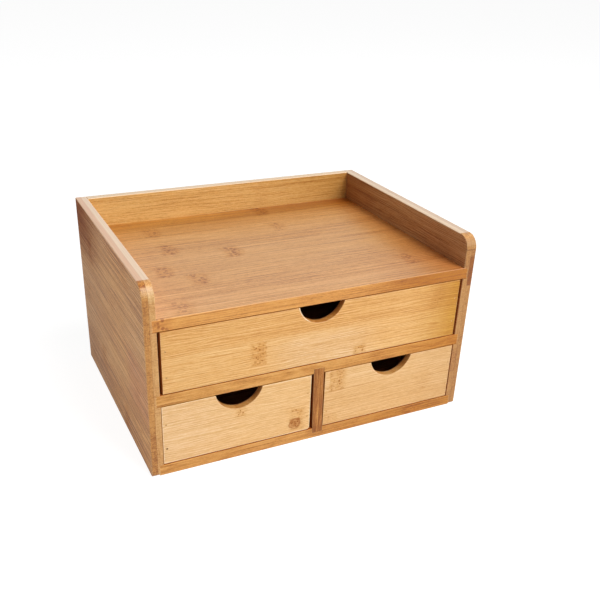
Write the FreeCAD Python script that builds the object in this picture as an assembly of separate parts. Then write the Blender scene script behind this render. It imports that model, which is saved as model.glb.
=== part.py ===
import FreeCAD, Part
import os
from FreeCAD import Vector

# Desktop mini drawers in bamboo, in millimetres.
# X runs across the front, Y runs from front to back and Z runs up.
# The origin is on the floor, under the middle of the whole chest.

# Carcass: overall sizes
overall_width = 330.0
overall_depth = 247.2
corner_radius = 13.0
foot_radius = 3.0

# Carcass: board thicknesses
side_thickness = 11.2
back_thickness = 8.8
bottom_thickness = 11.0
middle_shelf_thickness = 11.4
top_shelf_thickness = 11.3
divider_thickness = 10.8

# Carcass: clear heights, from the base up
lower_bay_height = 61.4
upper_bay_height = 61.1
tray_rise = 31.2

# Carcass: the housings that the boards are glued into
side_housing_depth = 4.0
divider_housing_depth = 5.6
glue_clearance = 0.05
board_ease = 0.8

# The divider leans: its foot stands this far to the right of its head
divider_lean = 1.1

# Drawers: board thicknesses
front_thickness = 8.0
drawer_side_thickness = 7.0
drawer_back_thickness = 7.0
drawer_bottom_thickness = 3.0

# Drawers: gaps round each drawer in its bay
upper_side_gap = 2.5
lower_side_gap = 1.2
front_reveal = 0.6
running_clearance = 0.3
rear_gap = 0.5
front_recess = 0.3
lower_left_shift = -0.9
lower_right_shift = 0.3

# Drawers: box
side_drop = 3.0
groove_depth = 3.0
groove_rise = 4.0
groove_clearance = 0.1
front_ease = 0.5
box_ease = 0.4

# The lower left front has a worn corner at its right foot
worn_corner_radius = 3.0

# Drawers: finger notch, an arc whose centre stands above the front's top edge
notch_radius = 23.3
notch_centre_rise = 5.0

# Drawers: pins
pin_radius = 0.6
pin_length = 22.0
pin_head_radius = 0.9
pin_head_height = 0.6
pin_tip_length = 1.6
pin_tip_radius = 0.15
pin_set_depth = 0.3
pin_clearance = 0.05
pin_height_shares = (0.28, 0.72)

# Cuts run past the wood by this much, and places closer than same_place are one place
overrun = 5.0
same_place = 0.001

# Places that follow from the sizes above
half_width = overall_width / 2
inner_half = half_width - side_thickness
front_y = -overall_depth / 2
rear_y = overall_depth / 2
back_face_y = rear_y - back_thickness
lower_bay_z = bottom_thickness
middle_shelf_z = lower_bay_z + lower_bay_height
upper_bay_z = middle_shelf_z + middle_shelf_thickness
top_shelf_z = upper_bay_z + upper_bay_height
tray_z = top_shelf_z + top_shelf_thickness
overall_height = tray_z + tray_rise
half_divider = divider_thickness / 2


def block(x_span, y_span, z_span):
    """A box between the two ends of each span."""
    size_x = x_span[1] - x_span[0]
    size_y = y_span[1] - y_span[0]
    size_z = z_span[1] - z_span[0]
    corner = Vector(x_span[0], y_span[0], z_span[0])
    return Part.makeBox(size_x, size_y, size_z, corner)


def same(a, b):
    return abs(a - b) < same_place


def edge_spans(edge):
    """The lowest and highest place of an edge along each axis."""
    box = edge.BoundBox
    return {"x": (box.XMin, box.XMax), "y": (box.YMin, box.YMax), "z": (box.ZMin, box.ZMax)}


def edges_along(shape, axis, **places):
    """The straight edges that run along one axis, at the places given for the other two."""
    found = []
    for edge in shape.Edges:
        spans = edge_spans(edge)
        crossways = [spans[name] for name in spans if name != axis]
        runs_along = all(same(low, high) for low, high in crossways)
        if runs_along and all(same(spans[name][0], place) for name, place in places.items()):
            found.append(edge)
    return found


def eased(shape, radius, edges):
    """The shape with the sharp corners taken off those edges."""
    return shape.makeFillet(radius, edges)


def eased_block(x_span, y_span, z_span, radius):
    """A board with every edge lightly sanded."""
    board = block(x_span, y_span, z_span)
    return eased(board, radius, board.Edges)


def shelf(z_span):
    """A board that reaches into the housings of both sides, flush with the carcass front."""
    reach = inner_half + side_housing_depth - glue_clearance
    board = block((-reach, reach), (front_y, back_face_y), z_span)
    return eased(board, board_ease, edges_along(board, "x", y=front_y))


def side_housings():
    """The three cuts in the inner face of the right side that take the shelves and the base."""
    x_span = (inner_half - overrun, inner_half + side_housing_depth)
    y_span = (front_y - overrun, back_face_y)
    heights = (
        (-overrun, bottom_thickness + glue_clearance),
        (middle_shelf_z - glue_clearance, upper_bay_z + glue_clearance),
        (top_shelf_z - glue_clearance, tray_z + glue_clearance),
    )
    return [block(x_span, y_span, z_span) for z_span in heights]


def right_side_panel():
    panel = block((inner_half, half_width), (front_y, rear_y), (0, overall_height))
    panel = eased(panel, corner_radius, edges_along(panel, "x", y=front_y, z=overall_height))
    panel = eased(panel, foot_radius, edges_along(panel, "x", y=front_y, z=0))
    panel = eased(panel, board_ease, sharp_panel_edges(panel))
    for cut in side_housings():
        panel = panel.cut(cut)
    return panel


def sharp_panel_edges(panel):
    """The edges of a side panel, less the four lines where a rounding runs into flat wood."""
    seams = edges_along(panel, "x", y=front_y + corner_radius, z=overall_height)
    seams += edges_along(panel, "x", y=front_y, z=overall_height - corner_radius)
    seams += edges_along(panel, "x", y=front_y, z=foot_radius)
    seams += edges_along(panel, "x", y=front_y + foot_radius, z=0)
    return [edge for edge in panel.Edges if not any(edge.isSame(seam) for seam in seams)]


def mirrored(shape):
    """The same shape on the other side of the chest."""
    return shape.mirror(Vector(0, 0, 0), Vector(1, 0, 0))


def back_panel():
    board = block((-inner_half, inner_half), (back_face_y, rear_y), (0, overall_height))
    return eased(board, board_ease, edges_along(board, "x"))


def divider_middle(z):
    """Where the middle of the leaning divider is at a height, from 0 at the middle shelf's underside."""
    return divider_lean * (middle_shelf_z - z) / lower_bay_height


def leaning_block(half_thickness, y_span, z_span):
    """A board that leans as the divider does."""
    low_z, high_z = z_span
    low_x, high_x = divider_middle(low_z), divider_middle(high_z)
    corners = [
        Vector(low_x - half_thickness, y_span[0], low_z),
        Vector(low_x + half_thickness, y_span[0], low_z),
        Vector(high_x + half_thickness, y_span[0], high_z),
        Vector(high_x - half_thickness, y_span[0], high_z),
    ]
    outline = Part.makePolygon(corners + corners[:1])
    return Part.Face(outline).extrude(Vector(0, y_span[1] - y_span[0], 0))


def divider_housing(z_span):
    return leaning_block(half_divider + glue_clearance, (front_y - overrun, rear_y), z_span)


def middle_shelf():
    board = shelf((middle_shelf_z, upper_bay_z))
    floor_z = middle_shelf_z - overrun
    return board.cut(divider_housing((floor_z, middle_shelf_z + divider_housing_depth)))


def bottom_panel():
    board = shelf((0, bottom_thickness))
    floor_z = bottom_thickness - divider_housing_depth
    return board.cut(divider_housing((floor_z, bottom_thickness + overrun)))


def centre_divider():
    low_z = bottom_thickness - divider_housing_depth + glue_clearance
    high_z = middle_shelf_z + divider_housing_depth - glue_clearance
    board = leaning_block(half_divider, (front_y, back_face_y), (low_z, high_z))
    return eased(board, board_ease, upright_front_edges(board))


def upright_front_edges(board):
    """The two long edges of the divider's front."""
    spans = [(edge, edge_spans(edge)) for edge in board.Edges]
    at_front = [(edge, span) for edge, span in spans if same(span["y"][1], front_y)]
    return [edge for edge, span in at_front if not same(span["z"][0], span["z"][1])]


def drawer_places(bay_x, bay_z, bay_height, side_gap, shift):
    """Where one drawer's box stands in its bay."""
    places = {
        "left": bay_x[0] + side_gap + shift,
        "right": bay_x[1] - side_gap + shift,
        "front": front_y + front_recess,
        "rear": back_face_y - rear_gap,
        "front_low": bay_z + front_reveal,
        "front_high": bay_z + bay_height - front_reveal,
        "box_low": bay_z + running_clearance,
    }
    places["box_high"] = places["front_high"] - side_drop
    places["inner_left"] = places["left"] + drawer_side_thickness
    places["inner_right"] = places["right"] - drawer_side_thickness
    places["inner_front"] = places["front"] + front_thickness
    places["inner_rear"] = places["rear"] - drawer_back_thickness
    places["groove_low"] = places["box_low"] + groove_rise
    places["groove_high"] = places["groove_low"] + drawer_bottom_thickness + 2 * groove_clearance
    return places


def bottom_groove(at):
    """The space that the drawer's thin bottom slides into, cut from all four boards."""
    x_span = (at["inner_left"] - groove_depth, at["inner_right"] + groove_depth)
    y_span = (at["inner_front"] - groove_depth, at["inner_rear"] + groove_depth)
    return block(x_span, y_span, (at["groove_low"], at["groove_high"]))


def drawer_bottom(at):
    reach = groove_depth - groove_clearance
    x_span = (at["inner_left"] - reach, at["inner_right"] + reach)
    y_span = (at["inner_front"] - reach, at["inner_rear"] + reach)
    low_z = at["groove_low"] + groove_clearance
    return block(x_span, y_span, (low_z, low_z + drawer_bottom_thickness))


def notch_cut(at):
    """A round bar across the top edge of the front, which leaves the finger notch."""
    middle_x = (at["left"] + at["right"]) / 2
    centre = Vector(middle_x, at["front"] - overrun, at["front_high"] + notch_centre_rise)
    return Part.makeCylinder(notch_radius, front_thickness + 2 * overrun, centre, Vector(0, 1, 0))


def front_board(at):
    """The plain board of a drawer front with its finger notch."""
    y_span = (at["front"], at["inner_front"])
    board = block((at["left"], at["right"]), y_span, (at["front_low"], at["front_high"]))
    return board.cut(notch_cut(at))


def face_edges(board):
    """The edges round the front face and the rear face of a board that stands across the chest."""
    return [edge for edge in board.Edges if same(edge.BoundBox.YLength, 0)]


def drawer_front(at):
    board = front_board(at)
    return eased(board, front_ease, face_edges(board))


def worn_drawer_front(at):
    board = front_board(at)
    corner = edges_along(board, "y", x=at["right"], z=at["front_low"])
    board = eased(board, worn_corner_radius, corner)
    return eased(board, front_ease, face_edges(board))


def drawer_side(at, x_span):
    """A side board of the box, which runs from the front to the back."""
    y_span = (at["inner_front"], at["inner_rear"])
    board = block(x_span, y_span, (at["box_low"], at["box_high"]))
    return eased(board, box_ease, edges_along(board, "y"))


def drawer_back(at):
    y_span = (at["inner_rear"], at["rear"])
    return eased_block((at["left"], at["right"]), y_span, (at["box_low"], at["box_high"]), box_ease)


def pin_profile(extra):
    """Half the outline of a brad, head first along Y, grown by the extra width and length."""
    head = pin_head_radius + extra
    shank = pin_radius + extra
    tip = pin_tip_radius + extra
    head_end = pin_head_height + extra
    points = [
        Vector(0, 0, 0),
        Vector(head, 0, 0),
        Vector(head, head_end, 0),
        Vector(shank, head_end, 0),
        Vector(shank, pin_length - pin_tip_length, 0),
        Vector(tip, pin_length + extra, 0),
        Vector(0, pin_length + extra, 0),
        Vector(0, 0, 0),
    ]
    return Part.Face(Part.makePolygon(points))


def pin_at(place, inward, extra):
    """One brad, or its hole where extra is given, that points inward along Y."""
    pin = pin_profile(extra).revolve(Vector(0, 0, 0), Vector(0, 1, 0), 360)
    if inward < 0:
        pin = pin.mirror(Vector(0, 0, 0), Vector(0, 1, 0))
    pin.translate(place)
    return pin


def pin_places(at):
    """Head centre and direction of the eight brads of one drawer."""
    side_middle = drawer_side_thickness / 2
    columns = (at["left"] + side_middle, at["right"] - side_middle)
    height = at["box_high"] - at["box_low"]
    rows = [at["box_low"] + share * height for share in pin_height_shares]
    places = []
    for x in columns:
        for z in rows:
            places.append((Vector(x, at["front"] + pin_set_depth, z), 1))
            places.append((Vector(x, at["rear"] - pin_set_depth, z), -1))
    return places


def pins(at):
    return Part.makeCompound([pin_at(place, inward, 0) for place, inward in pin_places(at)])


def pin_holes(at):
    """The holes of the eight brads, open to the outside over the set heads."""
    holes = []
    for place, inward in pin_places(at):
        mouth = place - Vector(0, inward * overrun, 0)
        open_end = Part.makeCylinder(pin_head_radius + pin_clearance, overrun, mouth, Vector(0, inward, 0))
        holes.append(pin_at(place, inward, pin_clearance).fuse(open_end))
    return holes


def drawer(name, at, front):
    """All pieces of one drawer, by node name, round its finished front board."""
    boards = {
        name + "_front": front,
        name + "_left_side": drawer_side(at, (at["left"], at["inner_left"])),
        name + "_right_side": drawer_side(at, (at["inner_right"], at["right"])),
        name + "_back": drawer_back(at),
    }
    cuts = [bottom_groove(at)] + pin_holes(at)
    pieces = {node: board.cut(cuts) for node, board in boards.items()}
    pieces[name + "_bottom"] = drawer_bottom(at)
    pieces[name + "_pins"] = pins(at)
    return pieces


def carcass():
    """All pieces of the carcass, by node name."""
    right = right_side_panel()
    return {
        "left_side_panel": mirrored(right),
        "right_side_panel": right,
        "back_panel": back_panel(),
        "top_shelf": shelf((top_shelf_z, tray_z)),
        "middle_shelf": middle_shelf(),
        "bottom_panel": bottom_panel(),
        "centre_divider": centre_divider(),
    }


def lower_places(bay_x, shift):
    """Where a lower drawer stands, pushed sideways in its bay by the shift."""
    return drawer_places(bay_x, lower_bay_z, lower_bay_height, lower_side_gap, shift)


def drawers():
    """The wide upper drawer and the two lower ones, each in its own bay."""
    upper = drawer_places((-inner_half, inner_half), upper_bay_z, upper_bay_height, upper_side_gap, 0)
    lower_left = lower_places((-inner_half, -half_divider), lower_left_shift)
    lower_right = lower_places((half_divider, inner_half), lower_right_shift)
    pieces = drawer("upper_drawer", upper, drawer_front(upper))
    pieces.update(drawer("lower_left_drawer", lower_left, worn_drawer_front(lower_left)))
    pieces.update(drawer("lower_right_drawer", lower_right, drawer_front(lower_right)))
    return pieces


def main():
    os.makedirs("parts", exist_ok=True)
    pieces = carcass()
    pieces.update(drawers())
    for node, shape in pieces.items():
        solids = len(shape.Solids)
        print(node, "solids", solids, "valid", shape.isValid(), "volume", round(shape.Volume))
        shape.exportStep("parts/" + node + ".step")


main()
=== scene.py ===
import math
import random

import bpy
from mathutils import Matrix, Vector


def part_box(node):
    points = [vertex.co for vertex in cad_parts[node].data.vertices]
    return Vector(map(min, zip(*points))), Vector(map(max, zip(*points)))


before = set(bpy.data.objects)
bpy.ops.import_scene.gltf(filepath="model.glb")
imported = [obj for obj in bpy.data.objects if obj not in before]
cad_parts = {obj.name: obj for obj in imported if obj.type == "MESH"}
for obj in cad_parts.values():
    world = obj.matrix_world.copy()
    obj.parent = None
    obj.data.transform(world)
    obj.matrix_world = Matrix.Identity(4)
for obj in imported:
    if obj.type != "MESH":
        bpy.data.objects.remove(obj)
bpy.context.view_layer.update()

MM = 1000.0
IMAGE_SIDE = 600.0

# Camera, at the viewing angle of the photograph
CAMERA_PLACE = (-0.3054536, -0.6778832, 0.4394121)
CAMERA_TURN = -26.313689
CAMERA_DIP = 27.716223
CAMERA_ROLL = 2.034660
CAMERA_FOCUS_PX = 776.139
CAMERA_CENTRE_PX = (290.474, 339.566)
SENSOR = 36.0

# Light levels: 1 is the light at which a colour renders as it is written
LAMPS = {
    "front": dict(level=0.42, turn=24.0, rise=26.0, distance=2.6, size=1.2),
    "top": dict(level=0.66, turn=28.0, rise=56.0, distance=2.6, size=1.3),
    "left": dict(level=0.16, turn=-86.0, rise=6.0, distance=1.8, size=0.30),
}
LAMP_AIM = (0.0, 0.0, 0.09)
AMBIENT_LEVEL = 0.17
FLOOR_HALF = 6.0
FLOOR_BOUNCE = 0.75
FLOOR_SHADOW_PART = 0.30
FLOOR_GLOW = 0.905


class Graph:
    """The nodes of one material, with short calls for the common ones."""

    def __init__(self, name):
        self.material = bpy.data.materials.new(name)
        self.material.use_nodes = True
        self.tree = self.material.node_tree
        self.tree.nodes.clear()

    def link(self, socket, value):
        if isinstance(value, bpy.types.NodeSocket):
            self.tree.links.new(value, socket)
        else:
            socket.default_value = value

    def add(self, kind, inputs=None, **settings):
        node = self.tree.nodes.new(kind)
        for name, value in settings.items():
            setattr(node, name, value)
        for key, value in (inputs or {}).items():
            self.link(node.inputs[key], value)
        return node

    def math(self, operation, *values, clamp=False):
        inputs = dict(enumerate(values))
        return self.add("ShaderNodeMath", inputs, operation=operation, use_clamp=clamp).outputs[0]

    def total(self, *terms):
        result = terms[0]
        for term in terms[1:]:
            result = self.math("ADD", result, term)
        return result

    def product(self, *terms):
        result = terms[0]
        for term in terms[1:]:
            result = self.math("MULTIPLY", result, term)
        return result

    def most(self, *terms):
        result = terms[0]
        for term in terms[1:]:
            result = self.math("MAXIMUM", result, term)
        return result

    def length(self, first, second):
        squares = [self.product(part, part) for part in (first, second)]
        return self.math("SQRT", self.math("ADD", *squares))

    def around(self, value, middle, gain):
        return self.product(self.math("SUBTRACT", value, middle), gain)

    def fade(self, value, start, stop, low=0.0, high=1.0):
        inputs = {0: value, 1: start, 2: stop, 3: low, 4: high}
        node = self.add("ShaderNodeMapRange", inputs, interpolation_type="SMOOTHSTEP", clamp=True)
        return node.outputs[0]

    def mix(self, factor, a, b):
        inputs = {0: factor, 2: a, 3: b}
        return self.add("ShaderNodeMix", inputs, data_type="FLOAT", clamp_factor=True).outputs[0]

    def blend(self, factor, a, b, mode="MIX"):
        inputs = {0: factor, 6: a, 7: b}
        node = self.add("ShaderNodeMix", inputs, data_type="RGBA", blend_type=mode, clamp_factor=True)
        return node.outputs[2]

    def tint(self, factor, colour, times):
        return self.blend(factor, colour, (*times, 1.0), "MULTIPLY")

    def vector(self, x, y, z):
        return self.add("ShaderNodeCombineXYZ", {0: x, 1: y, 2: z}).outputs[0]

    def parts(self, vector):
        return self.add("ShaderNodeSeparateXYZ", {0: vector}).outputs

    def millimetres(self, vector):
        return self.add("ShaderNodeVectorMath", {0: vector, 3: MM}, operation="SCALE").outputs[0]

    def noise(self, vector, detail=2.0, roughness=0.5):
        inputs = {"Vector": vector, "Scale": 1.0, "Detail": detail, "Roughness": roughness}
        return self.add("ShaderNodeTexNoise", inputs, noise_dimensions="3D").outputs["Fac"]

    def cells(self, vector, randomness=1.0):
        inputs = {"Vector": vector, "Scale": 1.0, "Randomness": randomness}
        return self.add("ShaderNodeTexVoronoi", inputs, feature="F1").outputs["Distance"]

    def steps(self, factor, colours):
        """One flat colour for each equal step of the factor, with the last channel as alpha."""
        ramp = self.add("ShaderNodeValToRGB", {0: factor})
        ramp.color_ramp.interpolation = "CONSTANT"
        stops = ramp.color_ramp.elements
        while len(stops) < len(colours):
            stops.new(1.0)
        for index, colour in enumerate(colours):
            stops[index].position = index / len(colours)
            stops[index].color = colour
        return ramp.outputs

    def ramp(self, factor, stops):
        node = self.add("ShaderNodeValToRGB", {0: factor})
        elements = node.color_ramp.elements
        while len(elements) < len(stops):
            elements.new(1.0)
        for element, (position, colour) in zip(elements, stops):
            element.position = position
            element.color = (*colour, 1.0)
        return node.outputs[0]

    def curve(self, value, points):
        """A broken line through the points, both of whose values lie in 0..1."""
        node = self.add("ShaderNodeFloatCurve", {"Factor": 1.0, "Value": value})
        line = node.mapping.curves[0]
        while len(line.points) < len(points):
            line.points.new(1.0, 1.0)
        for point, place in zip(line.points, points):
            point.location = place
            point.handle_type = "VECTOR"
        node.mapping.update()
        return node.outputs[0]

    def output(self, shader):
        self.add("ShaderNodeOutputMaterial", {"Surface": shader})
        return self.material


def tinted(stops, times):
    """A palette's stops with every colour multiplied."""
    return tuple(
        (place, tuple(part * share for part, share in zip(colour, times))) for place, colour in stops
    )


# Palettes: wood from dark to light, tints, the node marks' flecks, gloss, and the gain of each grain
USUAL = dict(
    fleck_fade=(0.46, 0.24),
    fleck_gate=(0.40, 0.54),
    fleck_core=(7.0, 1.0),
    edge_grain=0.75,
    matt_edges=False,
)
CARCASS = dict(
    USUAL,
    stops=(
        (0.0, (0.27, 0.090, 0.016)),
        (0.25, (0.44, 0.185, 0.042)),
        (0.5, (0.63, 0.320, 0.090)),
        (1.0, (0.82, 0.520, 0.210)),
    ),
    fibre=(0.70, 0.58, 0.48),
    mark=(0.88, 0.76, 0.66),
    dot=(0.52, 0.32, 0.16),
    fleck=(2.6, 1.5),
    seam=(0.66, 0.54, 0.46),
    worn=(0.84, 0.58, 0.30),
    radial=(0.98, 0.90, 0.76),
    end=(0.78, 0.75, 0.62),
    gloss=0.30,
    roughness=0.34,
    face_roughness=0.34,
    bend=2.5,
    cloud=0.30,
    coarse=0.45,
    fine=1.30,
    grit=0.60,
    pepper=0.30,
    lines=0.12,
)
SHELF = dict(
    CARCASS,
    stops=tinted(CARCASS["stops"], (1.10, 1.05, 1.12)),
    radial=(0.92, 0.82, 0.52),
    gloss=0.50,
    mark=(0.86, 0.76, 0.64),
    dot=(0.50, 0.30, 0.15),
    fleck=(3.6, 3.8),
    fleck_fade=(0.56, 0.34),
    fleck_gate=(0.34, 0.48),
    fleck_core=(8.0, 3.0),
    cloud=0.24,
    coarse=0.36,
    fine=1.40,
    lines=0.06,
)
RAIL = dict(
    CARCASS,
    stops=tinted(CARCASS["stops"], (1.03, 1.12, 1.18)),
    cloud=0.24,
    coarse=0.34,
    fine=1.0,
    lines=0.06,
)
SIDE = dict(
    CARCASS,
    stops=tinted(CARCASS["stops"], (1.03, 0.97, 1.06)),
    gloss=0.50,
    face_roughness=0.66,
    coarse=1.15,
    cloud=0.45,
    fine=2.5,
    lines=0.18,
)
RIGHT_SIDE = dict(SIDE, coarse=0.75, fine=1.7, lines=0.12)
FRONT = dict(
    USUAL,
    edge_grain=1.0,
    matt_edges=True,
    stops=(
        (0.0, (0.58, 0.270, 0.060)),
        (0.5, (0.76, 0.450, 0.180)),
        (1.0, (0.90, 0.640, 0.350)),
    ),
    fibre=(0.80, 0.68, 0.52),
    mark=(0.83, 0.69, 0.43),
    dot=(0.58, 0.34, 0.06),
    fleck=(2.8, 1.9),
    seam=(0.86, 0.76, 0.64),
    worn=(0.94, 0.74, 0.48),
    radial=(0.74, 0.58, 0.36),
    end=(0.72, 0.54, 0.34),
    gloss=0.40,
    roughness=0.40,
    face_roughness=0.40,
    bend=0.8,
    cloud=0.12,
    coarse=0.14,
    fine=1.10,
    grit=0.65,
    pepper=0.30,
    lines=0.12,
)
UPPER = dict(
    FRONT,
    stops=(
        (0.0, (0.57, 0.240, 0.042)),
        (0.5, (0.76, 0.415, 0.135)),
        (1.0, (0.89, 0.600, 0.280)),
    ),
    cloud=0.22,
    coarse=0.26,
    fine=1.30,
    lines=0.15,
)
BARE = dict(
    USUAL,
    stops=(
        (0.0, (0.50, 0.270, 0.090)),
        (0.5, (0.68, 0.430, 0.190)),
        (1.0, (0.80, 0.570, 0.300)),
    ),
    fibre=(0.70, 0.58, 0.46),
    mark=(0.90, 0.80, 0.70),
    dot=(0.56, 0.42, 0.30),
    fleck=(2.6, 1.5),
    seam=(0.70, 0.60, 0.50),
    worn=(0.84, 0.64, 0.38),
    radial=(1.0, 1.0, 1.0),
    end=(0.86, 0.80, 0.76),
    gloss=0.30,
    roughness=0.62,
    face_roughness=0.62,
    bend=3.0,
    cloud=0.36,
    coarse=0.50,
    fine=1.20,
    grit=0.50,
    pepper=0.20,
    lines=0.10,
)

# The sanded long-grain tops of the sides and the rail, and the tint of the sides' outer ply there
PALE_TOPS = {
    "left_side_panel": (0.96, 0.69, 0.47),
    "right_side_panel": (0.87, 0.63, 0.41),
    "back_panel": (0.95, 0.68, 0.41),
}
PALE_OUTER_PLY = {"left_side_panel": (0.91, 0.76, 0.68), "right_side_panel": (0.84, 0.80, 0.80)}
PALE_TOP_LIGHT = (1.0, 0.80, 0.60, 1.0)
PALE_TOP_DARK = 0.84
PALE_TOP_STREAKS = 0.7
PALE_TOP_COVER = 0.92
PALE_TOP_FINE = 1.6
PALE_TOP_COARSE = 0.8
PALE_TOP_DEPTH = (0.9, 0.4)
# Where the pale top begins behind a side's rounded corner, and where its outer ply begins, in mm
PALE_TOP_START = (13.0, 13.6)
OUTER_PLY_FADE = (159.2, 159.7)

# Grains: length and width of a streak in mm, noise detail and roughness, and whether it follows the bend
GRAIN = {
    "cloud": (95.0, 12.0, 2.0, 0.5, True),
    "coarse": (150.0, 2.3, 3.0, 0.6, True),
    "fine": (120.0, 0.73, 2.0, 0.6, True),
    "drift": (60.0, 9.0, 1.0, 0.5, True),
    "grit": (5.0, 0.8, 2.0, 0.6, True),
    "pepper": (1.5, 1.0, 1.0, 0.5, False),
    "wobble": (9.0, 6.0, 2.0, 0.5, False),
    "mottle": (5.0, 3.0, 2.0, 0.5, False),
    "gate": (4.0, 6.0, 2.0, 0.5, False),
    "knot_rim": (4.0, 4.0, 1.0, 0.5, False),
}
WAVE_SIZE = (80.0, 22.0)
DASH_SIZE = (22.0, 1.05)
DASH_FADE = (0.42, 0.10)
DASH_ON = {"face": 0.60, "radial": 0.22, "end": 0.40}
LAYER_SIZE = (16.0, 1.1)
LAYER_GAIN = 0.7
# How far the noises of neighbouring strips lie apart, and how many strips apart two plies count
STRIP_SHIFT = (5.31, 3.17, 9.73)
WAVE_SHIFT = 3.7
LAYER_SHIFT = 2.9
PLY_SHIFT = 40.0
LINE_PITCH = 2.05
LINE_DRIFT = 4.0
COARSE_ON_EDGES = 0.6
END_FADING = 0.65

# Relief in mm, extra roughness, and the varnish
RELIEF = {"streaks": 0.030, "dash": -0.015, "seam": -0.025, "mark": 0.020, "dots": -0.015}
RELIEF_STRENGTH = 0.7
ROUGHER = {"coarse": 0.20, "cloud": 0.12, "mark": 0.10, "worn": 0.12}
VARNISH_IOR = 1.5

# Where a normal counts as facing along an axis
FACE_TURN = (0.45, 0.8)
# Seams between strips, as a share of the strip; how clouds break them; and glue lines between plies in mm
SEAM_FADE = (0.016, 0.005)
SEAM_BREAKS = (0.30, 0.62, 0.15, 0.85)
GLUE_LINE_FADE = (0.28, 0.10, 0.0, 0.7)
STRIP_PITCH = 26.35
AXIS = {"X": 0, "Y": 1, "Z": 2}

# Strips that the photograph doesn't show: ranges of their tone, of the first one's offset and mark strength
DRAWN_TONE = (0.35, 0.65)
DRAWN_OFFSET = (0.2, 0.9)
DRAWN_STRENGTH = (0.3, 0.8)


def drawn_strips(seed, low, high, along):
    """Strips of the usual width with marks drawn by a seeded generator, for boards that nothing shows."""
    rng = random.Random(seed)
    count = int(math.ceil((high - low) / STRIP_PITCH)) + 1
    start = low - rng.uniform(*DRAWN_OFFSET) * STRIP_PITCH
    bounds = [start + index * STRIP_PITCH for index in range(count + 1)]
    strips = []
    for _ in range(count):
        strips.append((rng.uniform(*DRAWN_TONE), rng.uniform(*along), rng.uniform(*DRAWN_STRENGTH)))
    return bounds, strips


# Each ply: the through-board place where it ends, its strips' bounds across the board, and for each
# strip its tone, the place of its node mark along the board and that mark's strength
SHELF_PLIES = [
    (
        None,
        [-124.0, -122.0, -95.65, -69.3, -42.95, -16.6, 9.75, 36.1, 62.45, 88.8, 115.2],
        [
            (0.52, -149.0, 0.8),
            (0.55, -125.0, 0.5),
            (0.48, 118.0, 0.65),
            (0.50, -92.0, 0.75),
            (0.52, -117.0, 0.7),
            (0.50, -38.0, 0.8),
            (0.46, -96.0, 0.75),
            (0.54, 35.0, 0.55),
            (0.46, -98.0, 0.6),
            (0.44, 37.0, 0.75),
        ],
    )
]
LEFT_PLIES = [
    (
        -159.4,
        [-1.0, 28.0, 54.0, 78.0, 106.8, 134.4, 162.4, 190.0],
        [
            (0.40, -42.0, 0.7),
            (0.42, 43.0, 0.6),
            (0.58, -88.0, 0.3),
            (0.50, 96.0, 0.3),
            (0.54, -12.0, 0.2),
            (0.48, 71.0, 0.8),
            (0.42, -70.0, 0.35),
        ],
    ),
    (
        None,
        [-1.0, 15.0, 41.0, 67.0, 93.0, 119.0, 145.0, 171.0, 190.0],
        [
            (0.74, -60.0, 0.4),
            (0.68, 30.0, 0.4),
            (0.78, -20.0, 0.4),
            (0.66, 80.0, 0.4),
            (0.75, 10.0, 0.4),
            (0.70, -80.0, 0.4),
            (0.67, 50.0, 0.4),
            (0.76, 0.0, 0.4),
        ],
    ),
]
RIGHT_PLIES = [
    (
        159.4,
        [-1.0, 15.0, 41.0, 67.0, 80.0, 109.0, 145.0, 174.5, 190.0],
        [
            (0.52, -60.0, 0.4),
            (0.55, 30.0, 0.4),
            (0.50, -121.0, 0.6),
            (0.58, 80.0, 0.4),
            (0.62, 10.0, 0.4),
            (0.60, -80.0, 0.4),
            (0.50, 60.0, 0.4),
            (0.56, -116.0, 0.5),
        ],
    ),
    (
        None,
        [-1.0, 28.0, 54.0, 80.0, 109.0, 137.0, 167.0, 174.5, 190.0],
        [
            (0.46, 20.0, 0.5),
            (0.42, -64.0, 0.5),
            (0.46, 84.0, 0.5),
            (0.52, -10.0, 0.5),
            (0.56, 50.0, 0.5),
            (0.42, -90.0, 0.5),
            (0.34, 4.0, 0.5),
            (0.56, 30.0, 0.5),
        ],
    ),
]
RAIL_PLIES = [
    (
        None,
        [-1.0, 25.0, 51.0, 77.0, 103.0, 129.0, 155.5, 181.5, 190.0],
        [
            (0.48, -70.0, 0.6),
            (0.54, 90.0, 0.6),
            (0.46, 10.0, 0.6),
            (0.55, -110.0, 0.6),
            (0.50, 60.0, 0.6),
            (0.46, -30.0, 0.6),
            (0.56, 44.0, 0.25),
            (0.56, 146.0, 0.6),
        ],
    )
]
BOTTOM_PLIES = [
    (
        None,
        [-124.0, -99.0, -73.0, -47.0, -21.0, 5.0, 31.0, 57.0, 83.0, 115.2],
        [
            (0.46, 115.0, 0.7),
            (0.52, -60.0, 0.6),
            (0.45, 20.0, 0.6),
            (0.56, -120.0, 0.6),
            (0.50, 70.0, 0.6),
            (0.46, -10.0, 0.6),
            (0.55, 130.0, 0.6),
            (0.48, -90.0, 0.6),
            (0.52, 40.0, 0.6),
        ],
    )
]
MIDDLE_PLIES = [
    (
        None,
        [-124.0, -105.0, -79.0, -53.0, -27.0, -1.0, 25.0, 51.0, 77.0, 115.2],
        [
            (0.52, -9.0, 0.3),
            (0.46, 90.0, 0.6),
            (0.55, -50.0, 0.6),
            (0.47, 30.0, 0.6),
            (0.52, -130.0, 0.6),
            (0.45, 110.0, 0.6),
            (0.55, -20.0, 0.6),
            (0.50, 64.0, 0.6),
            (0.47, -80.0, 0.6),
        ],
    )
]
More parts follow.
